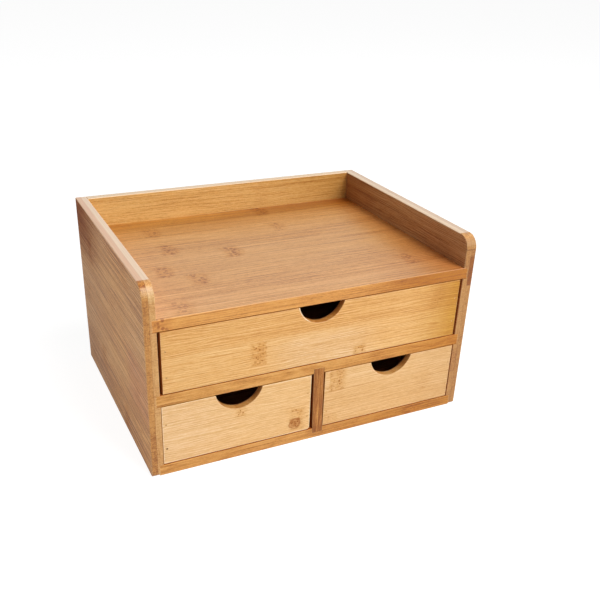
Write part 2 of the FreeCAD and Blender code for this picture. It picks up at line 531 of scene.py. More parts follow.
DIVIDER_PLIES = [
    (-2.0, [-124.0, -98.0, -72.0, -46.0, -20.0, 6.0, 32.0, 58.0, 84.0, 115.2], None),
    (1.8, [-124.0, -110.0, -84.0, -58.0, -32.0, -6.0, 20.0, 46.0, 72.0, 98.0, 115.2], None),
    (None, [-124.0, -98.0, -72.0, -46.0, -20.0, 6.0, 32.0, 58.0, 84.0, 115.2], None),
]
DIVIDER_TONES = (0.04, 0.18, 0.10)
DIVIDER_MARKS = (0.0, 75.0)
DIVIDER_MARK_STRENGTH = 0.3
SEED_STEP = 97
UPPER_FRONT_PLIES = [
    (
        None,
        [68.0, 94.5, 118.0, 145.0],
        [(0.56, 43.0, 0.0), (0.56, -61.0, 0.0), (0.42, 128.0, 0.3)],
    )
]
LEFT_FRONT_PLIES = [
    (
        None,
        [-10.0, 16.0, 42.5, 68.5, 95.0],
        [(0.58, -130.0, 0.2), (0.57, -24.0, 0.15), (0.55, -77.0, 0.0), (0.56, -120.0, 0.2)],
    )
]
RIGHT_FRONT_PLIES = [
    (
        None,
        [-3.0, 23.3, 49.5, 75.7],
        [(0.50, 16.0, 0.4), (0.50, 120.0, 0.2), (0.57, 20.0, 0.0)],
    )
]

WOOD = {
    "left_side_panel": ("YZX", SIDE, LEFT_PLIES),
    "right_side_panel": ("YZX", RIGHT_SIDE, RIGHT_PLIES),
    "back_panel": ("XZY", RAIL, RAIL_PLIES),
    "top_shelf": ("XYZ", SHELF, SHELF_PLIES),
    "middle_shelf": ("XYZ", CARCASS, MIDDLE_PLIES),
    "bottom_panel": ("XYZ", CARCASS, BOTTOM_PLIES),
    "centre_divider": ("ZYX", CARCASS, DIVIDER_PLIES),
    "upper_drawer_front": ("XZY", UPPER, UPPER_FRONT_PLIES),
    "lower_left_drawer_front": ("XZY", FRONT, LEFT_FRONT_PLIES),
    "lower_right_drawer_front": ("XZY", FRONT, RIGHT_FRONT_PLIES),
}
# The drawer boxes' boards, which are all bare
BOX_AXES = {"left_side": "YZX", "right_side": "YZX", "back": "XZY", "bottom": "XYZ"}

# Tints by region, most of them painted light and shade and a few the wood's own tone: the kind of face,
# where the tint begins and is full along each axis named, the tint there, and in one case how much rougher
# it is there
# Painted shade inside the drawer bays, on the carcass faces that the drawers hide
PAINTED_BAY_SHADE = (0.72, 0.44, 0.24)
TONES_AND_PAINTED_LIGHT = {
    # Painted shade on the front edge and toward the right end, most beside the right wall and along the
    # rail; a painted sheen lighter toward the front; painted shade on the underside in the bay
    "top_shelf": [
        ("radial", [("X", 10.0, 115.0)], (0.67, 0.49, 0.02)),
        ("face", [("Y", -30.0, -110.0), ("Z", 155.0, 156.0)], (1.04, 1.04, 1.13)),
        ("face", [("X", 105.0, 160.0), ("Z", 155.0, 156.0)], (0.92, 0.70, 0.48)),
        ("face", [("X", 40.0, 120.0), ("Y", -30.0, -90.0), ("Z", 155.0, 156.0)], (0.85, 0.77, 0.72)),
        ("face", [("X", -90.0, 120.0), ("Y", 66.0, 112.0), ("Z", 155.0, 156.0)], (0.72, 0.58, 0.46)),
        ("face", [("Y", 74.0, 100.0), ("Z", 155.0, 156.0)], (0.83, 0.74, 0.40)),
        ("face", [("Z", 149.0, 146.0)], PAINTED_BAY_SHADE),
    ],
    # Painted shade: the front edge darker toward the right end, and the faces inside the bays
    "middle_shelf": [
        ("radial", [("X", -10.0, 175.0)], (0.79, 0.60, 0.22)),
        ("face", [("Y", -123.6, -123.0)], PAINTED_BAY_SHADE),
    ],
    # Painted shade: the front edge darker toward the right end, and the top face inside the bays
    "bottom_panel": [
        ("radial", [("X", -40.0, 120.0)], (0.81, 0.69, 0.37)),
        ("face", [("Z", 9.0, 10.5)], PAINTED_BAY_SHADE),
    ],
    # Painted shade on the divider's sides inside the bays
    "centre_divider": [("face", [("Y", -123.6, -123.0)], PAINTED_BAY_SHADE)],
    # Painted shade toward the right end and painted light toward the left end of the rail's faces, and
    # painted shade on its front face inside the bays
    "back_panel": [
        ("face", [("X", 0.0, 170.0)], (0.78, 0.70, 0.54)),
        ("face", [("X", -50.0, -130.0)], (1.03, 1.08, 1.12)),
        ("face", [("Y", 117.0, 115.5), ("Z", 147.0, 144.0)], PAINTED_BAY_SHADE),
    ],
    # Slightly darker overall and more toward the right end as painted shade, with a painted pale highlight
    # low in the middle
    "upper_drawer_front": [
        ("face", [("X", 80.0, 170.0)], (0.68, 0.52, 0.01)),
        ("face", [("X", 170.0, 165.0)], (0.97, 0.96, 0.95)),
        ("face", [("X", -70.0, -15.0), ("X", 75.0, 25.0), ("Z", 126.0, 104.0)], (1.01, 1.10, 1.42)),
    ],
    # Slightly darker overall and more toward the right end, as painted shade
    "lower_right_drawer_front": [
        ("face", [("X", 175.0, 80.0)], (0.96, 0.95, 0.95)),
        ("face", [("X", 80.0, 165.0)], (0.88, 0.84, 0.80)),
    ],
    # Lighter and bluer toward the left end, a painted sheen
    "lower_left_drawer_front": [("face", [("X", -60.0, -140.0)], (1.02, 1.04, 1.14))],
    # On the outer face, painted shade toward the back and most at the upper rear, which is rougher too, a
    # painted sheen lighter in the front middle and a little darker low at the front; painted shade in the
    # bay; the outer ply's own tone on the front end; painted highlights on the rounded front corner, under a
    # band of darker end grain at its top
    "left_side_panel": [
        ("face", [("Y", -70.0, 130.0), ("X", -162.0, -164.0)], (0.80, 0.80, 0.90)),
        (
            "face",
            [("Y", 0.0, 115.0), ("Z", 112.0, 172.0), ("X", -162.0, -164.0)],
            (0.47, 0.26, 0.14),
            0.34,
        ),
        (
            "face",
            [("Y", -40.0, -90.0), ("Z", 70.0, 120.0), ("X", -162.0, -164.0)],
            (1.05, 1.11, 1.28),
        ),
        (
            "face",
            [("Y", -50.0, -75.0), ("Z", 45.0, 62.0), ("Z", 115.0, 95.0), ("X", -162.0, -164.0)],
            (0.92, 0.82, 0.88),
        ),
        ("face", [("X", -157.0, -155.0), ("Z", 147.0, 144.0)], PAINTED_BAY_SHADE),
        ("end", [("X", -159.2, -159.6)], (0.97, 0.91, 0.74)),
        (
            "edge",
            [("Y", -109.0, -110.5), ("Z", 171.0, 174.0), ("Z", 185.6, 184.6), ("X", -159.6, -159.2)],
            (1.08, 1.22, 1.48),
        ),
        (
            "edge",
            [("Y", -109.0, -110.5), ("Z", 175.5, 178.0), ("Z", 184.6, 183.6), ("X", -159.2, -159.6)],
            (1.10, 1.26, 1.56),
        ),
        ("edge", [("Y", -109.0, -110.5), ("Z", 184.0, 185.0), ("X", -159.2, -159.6)], (0.88, 0.76, 0.44)),
    ],
    # On the inner face above the shelf, painted shade, deepest toward the back with a lighter middle;
    # painted shade in the bay; the front end a little darker; a dark patch of the wood's own end grain at
    # the front; at the rounded corner a painted sheen and a painted dark line where the rounding begins
    "right_side_panel": [
        ("face", [("X", 157.0, 155.0), ("Z", 147.0, 157.0)], (0.67, 0.63, 0.68)),
        ("face", [("X", 157.0, 155.0), ("Z", 147.0, 157.0), ("Y", -20.0, 115.0)], (0.74, 0.63, 0.40)),
        (
            "face",
            [("X", 157.0, 155.0), ("Z", 147.0, 157.0), ("Y", -70.0, -20.0), ("Y", 80.0, 30.0)],
            (1.04, 1.11, 1.15),
        ),
        ("face", [("X", 157.0, 155.0), ("Z", 147.0, 144.0)], PAINTED_BAY_SHADE),
        ("end", [("X", 140.0, 141.0)], (0.87, 0.85, 0.78)),
        (
            "edge",
            [("Y", -119.0, -122.0), ("X", 159.2, 159.6), ("Z", 136.6, 137.4), ("Z", 167.4, 166.6)],
            (0.66, 0.43, 0.03),
        ),
        ("edge", [("Y", -109.0, -110.5), ("Z", 175.5, 178.0)], (0.92, 0.97, 1.02)),
        ("edge", [("Y", -109.0, -110.5), ("Z", 173.2, 174.2), ("Z", 175.6, 174.8)], (0.70, 0.64, 0.50)),
    ],
}

# Node marks that show on the fronts: where each begins and ends along the board, each with its softness,
# where it begins and ends across the board, and its strength
PATCHES = {
    "upper_drawer_front": [
        (-69.0, 4.0, -54.6, 0.8, 94.0, 117.0, 0.85),
        (35.5, 2.5, 48.5, 3.5, 80.0, 94.3, 1.0),
    ],
    "lower_left_drawer_front": [
        (-29.0, 2.5, -14.0, 4.0, 14.0, 38.5, 0.75),
        (-84.5, 2.5, -74.0, 2.0, 44.0, 54.0, 0.75),
    ],
    "lower_right_drawer_front": [
        (12.2, 0.8, 28.5, 4.0, 48.8, 80.0, 0.85),
        (12.2, 0.8, 18.0, 2.5, 49.5, 80.0, 0.60),
    ],
}
# Dark dots on the fronts: their place along and across the board and their radius
DOTS = {
    "upper_drawer_front": [
        (-64.7, 112.0, 0.7),
        (-61.2, 110.0, 0.9),
        (-64.4, 102.4, 0.8),
        (-62.8, 100.8, 0.7),
        (-58.6, 98.6, 0.6),
        (45.6, 88.0, 0.9),
        (41.2, 91.4, 0.6),
        (38.2, 88.4, 0.6),
    ],
    "lower_left_drawer_front": [
        (-20.4, 23.6, 0.9),
        (-26.6, 22.4, 0.7),
        (-22.8, 19.0, 0.8),
        (-18.2, 21.0, 0.6),
        (-26.0, 36.4, 0.6),
        (-22.6, 37.0, 0.7),
        (-79.6, 50.4, 0.7),
        (-77.0, 47.6, 0.8),
        (-81.6, 46.6, 0.6),
    ],
    "lower_right_drawer_front": [(22.6, 59.0, 1.0), (23.4, 55.6, 0.8), (23.2, 63.2, 0.5), (14.6, 51.0, 0.6)],
}
# Round knots: their place along and across the board and their radius
KNOTS = {"lower_left_drawer_front": (-23.6, 22.6, 7.0)}
KNOT_TINT = (0.66, 0.48, 0.28)
KNOT_WOBBLE = 0.6
KNOT_SOFT = (0.5, -1.5)
KNOT_RIM = 0.6
KNOT_RIM_INSET = 1.6
KNOT_RIM_FADE = (1.2, 0.3)
KNOT_RIM_BREAKS = (0.40, 0.54)
KNOT_CORE = 1.0

# Node marks in mm: how far past the board they may lie, their bow, half width, spread and ragged edges
MARK_OVERRUN = 20.0
MARK_BOW = 16.0
MARK_HALF_WIDTH = 9.0
MARK_SPREAD = 3.0
MARK_RAGGED = 9.0
MARK_WOBBLE = 9.0
MARK_SOFT = 0.28
MOTTLE_FADE = (0.30, 0.70, 0.45, 1.0)
PATCH_WOBBLE = 0.5
PATCH_SOFT = 0.8
PATCH_FLECKS = 0.7
DOT_SOFT = 0.4

# Edges painted pale, partly as rubbed wear and partly as painted highlights where the eased edges catch the
# light: how pale they are and how far in that reaches
EDGE_WEAR_AND_HIGHLIGHT = {"lower_left_drawer_front": 0.75, "right_side_panel": 0.10}
EDGE_REACH = {"lower_left_drawer_front": 1.0}
USUAL_WEAR_AND_HIGHLIGHT = 0.30
USUAL_REACH = 0.6
PALE_EDGE_SOFT = 0.5
PALE_EDGE_RAGGED = 2.4
ARRIS_HIGHLIGHT = 0.60

# Finger notches: painted shade at the rear of the lip, and a painted highlight on the rim on the side that
# meets the light
NOTCH_FROM_ENDS = (1.0, 2.0)
NOTCH_BELOW_TOP = (0.5, 1.0)
NOTCH_REAR_SHADE = (0.12, 0.07, 0.04)
NOTCH_SHADE_REACH = (6.2, 7.0)
NOTCH_RADIUS = 23.3
NOTCH_CENTRE_RISE = 5.0
RIM_WIDTH = 1.0
RIM_SOFT = 0.5
RIM_LIT = (-10.0, -16.0)
RIM_HIGHLIGHT_COLOUR = (1.0, 0.90, 0.66, 1.0)
RIM_HIGHLIGHT = {"upper_drawer_front": 0.9}
USUAL_RIM_HIGHLIGHT = 0.15

# Painted shade beside the gaps round the drawers, and the boards whose lower edge has it
OVER_GAPS = ("top_shelf", "middle_shelf")
NEAR_FRONT = (1.4, 0.9)
NEAR_END = (0.9, 0.4)
NEAR_TOP = (0.5, 0.3)
NEAR_BOTTOM = (0.6, 0.3)
END_GAP_SHADE_DEPTH = (4.5, 3.0)
SHELF_GAP_SHADE_DEPTH = (3.0, 2.0)
GAP_SHADE_TINT = (0.76, 0.54, 0.17)
GAP_ROUGHNESS = 0.95
EDGE_ROUGHNESS = 0.70
EASED_EDGE = 0.22

# Pins: their colours, the fineness of their drawing lines and roughness
PIN_STOPS = ((0.3, (0.56, 0.31, 0.11)), (0.7, (0.70, 0.42, 0.17)))
PIN_LINES_LONG = 6.0
PIN_LINES_DENSE = 9.0
PIN_LINE_DEPTH = 0.05
PIN_LINE_STRENGTH = 0.4
PIN_ROUGHNESS = (0.60, 0.80)
PIN_GLOSS = 0.2
# The one pin head that shows dark in the photograph lies left of this X and below this Z
BARE_PIN_X = (-147.0, -149.0)
BARE_PIN_Z = (36.0, 34.0)
BARE_PIN_TINT = (0.42, 0.30, 0.24)


def strip_table(graph, across, along_range, ply, seed):
    """Index and fraction of the strip at a point of one ply, and its tone, mark and strength."""
    bounds, strips = ply
    low, high = bounds[0], bounds[-1]
    count = len(strips)
    share = graph.math("DIVIDE", graph.math("SUBTRACT", across, low), high - low, clamp=True)
    points = [((bound - low) / (high - low), index / count) for index, bound in enumerate(bounds)]
    place = graph.math("MULTIPLY", graph.curve(share, points), count)
    index = graph.math("MINIMUM", graph.math("FLOOR", place), count - 1.0)
    fraction = graph.math("SUBTRACT", place, index)
    key = graph.math("DIVIDE", graph.math("ADD", index, 0.5), count)
    rng = random.Random(seed)
    start, stop = along_range
    colours = []
    for tone, mark, strength in strips:
        colours.append((tone, (mark - start) / (stop - start), strength, rng.random()))
    table, chance = graph.steps(key, colours)
    return index, fraction, table, chance


def layered_strips(graph, across, through, along_range, plies, seed):
    """The strip data of the ply that a point lies in."""
    result = None
    limit_before = None
    for number, (limit, bounds, strips) in enumerate(plies):
        data = strip_table(graph, across, along_range, (bounds, strips), seed + number)
        shifted = graph.math("ADD", data[0], PLY_SHIFT * number)
        if result is None:
            result = [shifted, data[1], data[2], data[3]]
        else:
            inside = graph.math("GREATER_THAN", through, limit_before)
            result = [
                graph.mix(inside, result[0], shifted),
                graph.mix(inside, result[1], data[1]),
                graph.blend(inside, result[2], data[2]),
                graph.mix(inside, result[3], data[3]),
            ]
        limit_before = limit
    return result


def edge_distance(graph, parts, low, high):
    """How far a point of a board's surface lies from the board's nearest long or short edge."""
    away = []
    for part, start, stop in zip(parts, low, high):
        first = graph.math("SUBTRACT", part, start)
        away.append(graph.math("MINIMUM", first, graph.math("SUBTRACT", stop, part)))
    smaller = graph.math("MINIMUM", away[0], away[1])
    larger = graph.math("MAXIMUM", away[0], away[1])
    return graph.math("MAXIMUM", smaller, graph.math("MINIMUM", larger, away[2]))


class Board(Graph):
    """The bamboo of one board: strips glued side by side, measured along, across and through it in mm."""

    def __init__(self, node, axes, palette, plies, seed):
        super().__init__(node + "_bamboo")
        self.node, self.palette, self.seed = node, palette, seed
        self.glue_lines = [limit for limit, _, _ in plies if limit is not None]
        self.low, self.high = (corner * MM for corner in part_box(node))
        coordinates = self.add("ShaderNodeTexCoord").outputs
        self.place = self.parts(self.millimetres(coordinates["Object"]))
        self.along, self.across, self.through = (self.place[AXIS[letter]] for letter in axes)
        self.find_strips(AXIS[axes[0]], plies)
        self.find_faces(axes, coordinates["Normal"])
        self.find_fibres()

    def find_strips(self, axis, plies):
        self.span = (self.low[axis] - MARK_OVERRUN, self.high[axis] + MARK_OVERRUN)
        found = layered_strips(self, self.across, self.through, self.span, plies, self.seed)
        self.index, self.fraction, table, self.chance = found
        self.tone, self.mark_share, self.strength = self.add("ShaderNodeSeparateColor", {0: table}).outputs
        along, across, through = STRIP_SHIFT
        self.shift = self.vector(
            self.product(self.index, along), self.product(self.index, across), self.strip_key(through)
        )

    def find_faces(self, axes, normal):
        """Masks of the kinds of face: the ends, the long edges, the broad faces and all edges."""
        turned = self.parts(normal)
        self.end, self.radial, self.face = (
            self.fade(self.math("ABSOLUTE", turned[AXIS[letter]]), *FACE_TURN) for letter in axes
        )
        self.edge = self.most(self.radial, self.end)
        self.arris = self.product(self.face, self.edge)

    def find_fibres(self):
        """Broad clouds, long and fine streaks, and the dark dashes of fibre bundles."""
        waves = self.noise(self.vector(
            self.math("DIVIDE", self.along, WAVE_SIZE[0]),
            self.math("DIVIDE", self.across, WAVE_SIZE[1]),
            self.strip_key(WAVE_SHIFT),
        ), 1.0)
        self.bent = self.math("ADD", self.across, self.around(waves, 0.5, self.palette["bend"]))
        self.cloud, self.coarse, self.fine = (self.grain(name) for name in ("cloud", "coarse", "fine"))
        shown = self.mix(self.end, self.mix(self.radial, DASH_ON["face"], DASH_ON["radial"]), DASH_ON["end"])
        bundles = self.cells(self.stretched(*DASH_SIZE, self.bent))
        self.dash = self.product(self.fade(bundles, *DASH_FADE), shown)

    def strip_key(self, gain):
        """A number that differs from strip to strip and from board to board."""
        return self.math("MULTIPLY_ADD", self.index, gain, float(self.seed))

    def stretched(self, length, width, side):
        """Texture coordinates whose cells have this length along the fibres and this width."""
        vector = self.vector(
            self.math("DIVIDE", self.along, length),
            self.math("DIVIDE", side, width),
            self.math("DIVIDE", self.through, width),
        )
        return self.add("ShaderNodeVectorMath", {0: vector, 1: self.shift}, operation="ADD").outputs[0]

    def grain(self, name):
        length, width, detail, roughness, follows = GRAIN[name]
        side = self.bent if follows else self.across
        return self.noise(self.stretched(length, width, side), detail, roughness)

    def beyond(self, axis, side, start, stop):
        """Fades in between two distances inwards from the board's low or high side."""
        if side == "low":
            return self.fade(self.place[axis], self.low[axis] + start, self.low[axis] + stop)
        return self.fade(self.place[axis], self.high[axis] - start, self.high[axis] - stop)

    def from_ends(self):
        return self.math(
            "MINIMUM",
            self.math("SUBTRACT", self.place[0], self.low[0]),
            self.math("SUBTRACT", self.high[0], self.place[0]),
        )

    def level(self):
        """How light the wood is: the strip's tone, with clouds, streaks, flecks and end-grain layers."""
        palette = self.palette
        drift = self.product(self.grain("drift"), LINE_DRIFT)
        turns = self.math("ADD", self.math("DIVIDE", self.bent, LINE_PITCH), drift)
        lines = self.math("SINE", self.product(turns, 2.0 * math.pi))
        layers = self.noise(self.vector(
            self.math("DIVIDE", self.across, LAYER_SIZE[0]),
            self.math("DIVIDE", self.through, LAYER_SIZE[1]),
            self.strip_key(LAYER_SHIFT),
        ), 2.0, 0.6)
        off_ends = self.math("SUBTRACT", 1.0, self.product(self.end, END_FADING))
        lengthwise = self.product(off_ends, self.mix(self.radial, 1.0, palette["edge_grain"]))
        on_edges = self.mix(self.radial, 1.0, COARSE_ON_EDGES)
        return self.total(
            self.tone,
            self.around(self.cloud, 0.5, palette["cloud"]),
            self.product(self.around(self.coarse, 0.5, palette["coarse"]), on_edges),
            self.product(self.around(self.fine, 0.5, palette["fine"]), lengthwise),
            self.product(self.around(self.grain("grit"), 0.5, palette["grit"]), lengthwise),
            self.product(self.product(lines, palette["lines"]), lengthwise),
            self.around(self.grain("pepper"), 0.5, palette["pepper"]),
            self.product(self.around(layers, 0.5, LAYER_GAIN), self.end),
        )

    def find_marks(self):
        """The mark of each strip's node: a warm band across it, flecked with short dark dashes."""
        palette = self.palette
        self.wobble = self.around(self.grain("wobble"), 0.5, MARK_WOBBLE)
        self.mottle = self.fade(self.grain("mottle"), *MOTTLE_FADE)
        flecks = self.cells(self.stretched(*palette["fleck"], self.across))
        self.flecks = self.fade(flecks, *palette["fleck_fade"])
        middle = self.math("MULTIPLY_ADD", self.mark_share, self.span[1] - self.span[0], self.span[0])
        bow = self.product(self.math("POWER", self.around(self.fraction, 0.5, 1.0), 2.0), MARK_BOW)
        away = self.math("ABSOLUTE", self.total(self.math("SUBTRACT", self.along, middle), self.wobble, bow))
        half_width = self.math("MULTIPLY_ADD", self.chance, MARK_SPREAD, MARK_HALF_WIDTH)
        ragged = self.math("ADD", half_width, self.around(self.fine, 0.5, MARK_RAGGED))
        inside = self.math("SUBTRACT", 1.0, self.math("DIVIDE", away, ragged), clamp=True)
        self.mark = self.product(self.fade(inside, 0.0, MARK_SOFT), self.strength, self.mottle)
        gate = self.fade(self.grain("gate"), *palette["fleck_gate"])
        self.dots = self.product(self.flecks, self.fade(away, *palette["fleck_core"]), gate, self.strength)

    def add_patches(self):
        """The node marks and single dots that show on the drawer fronts."""
        shaky = self.math("ADD", self.along, self.product(self.wobble, PATCH_WOBBLE))
        for start, start_soft, stop, stop_soft, bottom, top, share in PATCHES.get(self.node, ()):
            patch = self.product(
                self.mottle,
                share,
                self.fade(shaky, start - start_soft, start + start_soft),
                self.fade(shaky, stop + stop_soft, stop - stop_soft),
                self.fade(self.bent, bottom - PATCH_SOFT, bottom + PATCH_SOFT),
                self.fade(self.bent, top + PATCH_SOFT, top - PATCH_SOFT),
            )
            self.mark = self.most(self.mark, patch)
            self.dots = self.most(self.dots, self.product(patch, self.flecks, PATCH_FLECKS))
        for dot_along, dot_across, radius in DOTS.get(self.node, ()):
            away = self.distance(dot_along, dot_across)
            self.dots = self.most(self.dots, self.fade(away, radius + DOT_SOFT, radius - DOT_SOFT))

    def distance(self, along, across):
        """How far a point lies from a place on the broad face."""
        return self.length(
            self.math("SUBTRACT", self.along, along), self.math("SUBTRACT", self.across, across)
        )

    def knotted(self, colour):
        """The knot's warm disc, whose broken rim and core join the dots."""
        along, across, radius = KNOTS[self.node]
        ring = self.math("ADD", self.distance(along, across), self.product(self.wobble, KNOT_WOBBLE))
        from_rim = self.math("ABSOLUTE", self.math("SUBTRACT", ring, radius - KNOT_RIM_INSET))
        rim = self.fade(from_rim, *KNOT_RIM_FADE)
        broken = self.fade(self.grain("knot_rim"), *KNOT_RIM_BREAKS)
        core = self.product(self.fade(ring, radius, KNOT_CORE), self.flecks)
        self.dots = self.most(self.dots, self.product(rim, broken, KNOT_RIM), core)
        outer, inner = KNOT_SOFT
        disc = self.product(self.fade(ring, radius + outer, radius + inner), self.mottle)
        return self.tint(disc, colour, KNOT_TINT)

    def seamed(self, colour):
        """Thin dark lines where the strips of a ply meet, and where two plies meet."""
        middle = self.math("ABSOLUTE", self.math("SUBTRACT", self.fraction, 0.5))
        seam = self.fade(self.math("SUBTRACT", 0.5, middle), *SEAM_FADE)
        self.seam = self.product(seam, self.fade(self.cloud, *SEAM_BREAKS))
        colour = self.tint(self.seam, colour, self.palette["seam"])
        for limit in self.glue_lines:
            away = self.math("ABSOLUTE", self.math("SUBTRACT", self.through, limit))
            colour = self.tint(self.fade(away, *GLUE_LINE_FADE), colour, self.palette["seam"])
        return colour

    def shaded(self, colour):
        """The board's tints by region: mostly painted light and shade, such as darker ends away from the
        lamps, painted shade near walls and in the bays and painted highlights on rounded corners, with a few
        tones of the wood itself; some are rougher too.
        """
        masks = {"end": self.end, "radial": self.radial, "face": self.face, "edge": self.edge}
        self.rougher = 0.0
        for kind, ranges, times, *more in TONES_AND_PAINTED_LIGHT.get(self.node, ()):
            share = masks[kind]
            for letter, start, stop in ranges:
                share = self.product(share, self.fade(self.place[AXIS[letter]], start, stop))
            colour = self.tint(share, colour, times)
            if more:
                self.rougher = self.product(share, more[0])
        return colour

    def rub_and_highlight(self, colour):
        """Edges painted pale here and there: partly rubbed wear, and painted highlights along the eased
        edges.
        """
        nearest = edge_distance(self, self.place, self.low, self.high)
        away = self.math("ADD", nearest, self.around(self.coarse, 0.5, PALE_EDGE_RAGGED))
        reach = EDGE_REACH.get(self.node, USUAL_REACH)
        worn = self.fade(away, reach, reach - PALE_EDGE_SOFT, 0.0, EDGE_WEAR_AND_HIGHLIGHT.get(self.node, USUAL_WEAR_AND_HIGHLIGHT))
        self.worn = self.most(worn, self.product(self.arris, ARRIS_HIGHLIGHT))
        return self.blend(self.worn, colour, (*self.palette["worn"], 1.0))

    def sanded(self, colour):
        """The pale, sanded long-grain top of a side or of the rail."""
        top = self.beyond(2, "high", *PALE_TOP_DEPTH)
        pale = PALE_TOPS[self.node]
        dark = tuple(part * PALE_TOP_DARK for part in pale)
        streaks = self.total(
            0.5,
            self.around(self.fine, 0.5, PALE_TOP_FINE),
            self.around(self.coarse, 0.5, PALE_TOP_COARSE),
        )
        wood = self.blend(streaks, (*dark, 1.0), PALE_TOP_LIGHT)
        wood = self.blend(PALE_TOP_STREAKS, (*pale, 1.0), wood)
        if self.node in PALE_OUTER_PLY:
            top = self.product(top, self.beyond(1, "low", *PALE_TOP_START))
            outer = self.fade(self.math("ABSOLUTE", self.place[0]), *OUTER_PLY_FADE)
            wood = self.tint(outer, wood, PALE_OUTER_PLY[self.node])
        return self.blend(self.product(top, PALE_TOP_COVER), colour, wood)

    def front_details(self, colour):
        """Painted shade on a drawer front's ends and the front of its top edge beside the gaps, painted
        shade at the rear of its notch's lip, and a painted highlight on the notch's rim.
        """
        from_ends = self.from_ends()
        at_ends = self.product(
            self.end, self.fade(from_ends, *NEAR_END), self.beyond(1, "low", *END_GAP_SHADE_DEPTH)
        )
        at_top = self.product(
            self.beyond(1, "low", *NEAR_FRONT), self.radial, self.beyond(2, "high", *NEAR_TOP)
        )
        self.gap_shade = self.most(at_ends, at_top)
        # Painted shade at the rear of the notch's lip
        lip_shade = self.product(
            self.beyond(2, "high", *NOTCH_BELOW_TOP),
            self.fade(from_ends, *NOTCH_FROM_ENDS),
            self.edge,
            self.beyond(1, "low", *NOTCH_SHADE_REACH),
        )
        colour = self.tint(lip_shade, colour, NOTCH_REAR_SHADE)
        sideways = self.math("SUBTRACT", self.place[0], (self.low[0] + self.high[0]) / 2.0)
        upward = self.math("SUBTRACT", self.place[2], self.high[2] + NOTCH_CENTRE_RISE)
        from_rim = self.math("SUBTRACT", self.length(sideways, upward), NOTCH_RADIUS)
        # Painted highlight on the notch's rim where it meets the light
        rim = self.product(
            self.fade(from_rim, RIM_WIDTH, RIM_WIDTH - RIM_SOFT),
            self.fade(sideways, *RIM_LIT),
            RIM_HIGHLIGHT.get(self.node, USUAL_RIM_HIGHLIGHT),
            self.face,
        )
        return self.blend(rim, colour, RIM_HIGHLIGHT_COLOUR)

    def shade_gaps(self, colour):
        """Painted shade along the gaps round the drawers."""
        if self.node in ("middle_shelf", "bottom_panel"):
            self.gap_shade = self.product(self.face, self.beyond(1, "low", *SHELF_GAP_SHADE_DEPTH))
        if self.node.endswith("_front") or self.node in OVER_GAPS:
            under = self.product(
                self.beyond(2, "low", *NEAR_BOTTOM), self.radial, self.beyond(1, "low", *NEAR_FRONT)
            )
            self.gap_shade = self.most(self.gap_shade, under)
        return self.tint(self.gap_shade, colour, GAP_SHADE_TINT) if self.gap_shade != 0.0 else colour

    def colour(self):
        palette, self.gap_shade = self.palette, 0.0
        self.find_marks()
        self.add_patches()
        colour = self.ramp(self.level(), palette["stops"])
        colour = self.tint(self.radial, colour, palette["radial"])
        colour = self.tint(self.end, colour, palette["end"])
        colour = self.tint(self.dash, colour, palette["fibre"])
        colour = self.tint(self.mark, colour, palette["mark"])
        if self.node in KNOTS:
            colour = self.knotted(colour)
        colour = self.tint(self.dots, colour, palette["dot"])
        colour = self.rub_and_highlight(self.shaded(self.seamed(colour)))
        if self.node in PALE_TOPS:
            colour = self.sanded(colour)
        if self.node.endswith("_front"):
            colour = self.front_details(colour)
        return self.shade_gaps(colour)

    def roughness(self):
        palette = self.palette
        matt = self.most(self.edge if palette["matt_edges"] else self.arris, self.gap_shade)
        plain = self.mix(self.face, palette["roughness"], palette["face_roughness"])
        return self.total(
            self.mix(matt, plain, EDGE_ROUGHNESS),
            self.product(self.gap_shade, GAP_ROUGHNESS - EDGE_ROUGHNESS),
            self.around(self.coarse, 0.5, ROUGHER["coarse"]),
            self.around(self.cloud, 0.5, ROUGHER["cloud"]),
            self.product(self.mark, ROUGHER["mark"]),
            self.product(self.worn, ROUGHER["worn"]),
            self.rougher,
        )

    def relief(self):
        height = self.total(
            self.around(self.fine, 0.5, RELIEF["streaks"]),
            self.around(self.coarse, 0.5, RELIEF["streaks"]),
            self.product(self.dash, RELIEF["dash"]),
            self.product(self.seam, RELIEF["seam"]),
            self.product(self.mark, RELIEF["mark"]),
            self.product(self.dots, RELIEF["dots"]),
        )
        inputs = {"Strength": RELIEF_STRENGTH, "Distance": 1.0 / MM, "Height": height}
        bump = self.add("ShaderNodeBump", inputs)
        return bump.outputs[0]

    def varnished(self):
        shader = self.add(
            "ShaderNodeBsdfPrincipled",
            {
                "Base Color": self.colour(),
                "Roughness": self.roughness(),
                "Normal": self.relief(),
                "IOR": VARNISH_IOR,
                "Specular IOR Level": self.palette["gloss"],
            },
        )
        return self.output(shader.outputs[0])


def pin_heads():
    """Drawn wire whose sunk, ground heads have gone brown under the varnish."""
    graph = Graph("pin_steel_browned")
    place = graph.millimetres(graph.add("ShaderNodeTexCoord").outputs["Object"])
    x, y, z = graph.parts(place)
    lines = graph.noise(graph.vector(
        x, graph.math("DIVIDE", y, PIN_LINES_LONG), graph.product(z, PIN_LINES_DENSE)
    ))
    spots = graph.noise(place, 3.0)
    bare = graph.product(graph.fade(x, *BARE_PIN_X), graph.fade(z, *BARE_PIN_Z))
    bump = graph.add(
        "ShaderNodeBump",
        {"Strength": PIN_LINE_STRENGTH, "Distance": PIN_LINE_DEPTH / MM, "Height": lines},
    )
    shader = graph.add(
        "ShaderNodeBsdfPrincipled",
        {
            "Base Color": graph.tint(bare, graph.ramp(spots, PIN_STOPS), BARE_PIN_TINT),
            "Metallic": 0.0,
            "Roughness": graph.fade(spots, 0.3, 0.7, *PIN_ROUGHNESS),
            "Normal": bump.outputs[0],
            "Specular IOR Level": PIN_GLOSS,
        },
    )
    return graph.output(shader.outputs[0])


def assign(node, material):
    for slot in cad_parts[node].material_slots:
        slot.material = material


